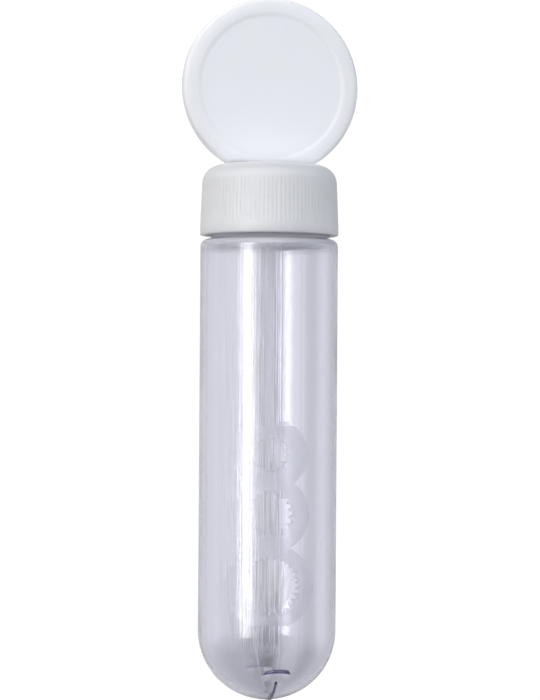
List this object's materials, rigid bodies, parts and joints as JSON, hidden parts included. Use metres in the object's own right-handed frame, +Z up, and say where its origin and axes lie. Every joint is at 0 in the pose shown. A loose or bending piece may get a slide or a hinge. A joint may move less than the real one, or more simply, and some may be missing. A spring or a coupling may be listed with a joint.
{
  "type": "bubble tube with wand",
  "caption": "Round-bottomed clear tube with a ribbed screw cap; a flat disc stands on the cap and a wand with toothed rings hangs from it inside the tube.",
  "frame": {"origin": "lowest point of the round bottom, on the tube's axis", "axes": "+Z up along the tube's axis towards the cap; the disc and the wand's flat head face along -Y; +X to the right seen from the front"},
  "size_m": [0.036, 0.028, 0.1425],
  "materials": {
    "bottle": "clear violet-tinted blow-moulded PVC or PETG, glossy",
    "cap": "white injection-moulded polypropylene, satin gloss",
    "wand": "natural translucent injection-moulded polypropylene",
    "liner": "closed-cell polyethylene foam"
  },
  "bodies": {
    "tube": {"bottle": "bottle"},
    "lift_carrier": {"liner": "liner"},
    "hanging_wand": {"wand": "wand"},
    "screw_cap": {"cap": "cap"}
  },
  "joints": [
    {"name": "lift_off", "type": "slide", "parent": "tube", "child": "lift_carrier", "axis": [0, 0, 1], "range_m": [0, 0.1]},
    {"name": "thread_rise", "type": "slide", "parent": "lift_carrier", "child": "hanging_wand", "axis": [0, 0, 1], "range_m": [0, 0.00317]},
    {"name": "cap_turn", "type": "hinge", "parent": "hanging_wand", "child": "screw_cap", "pos_m": [0, 0, 0.1005], "axis": [0, 0, 1], "range_deg": [0, 360]}
  ],
  "couplings": [
    {"joint": "thread_rise", "follows": "cap_turn", "m_per_rad": 0.00050532}
  ]
}
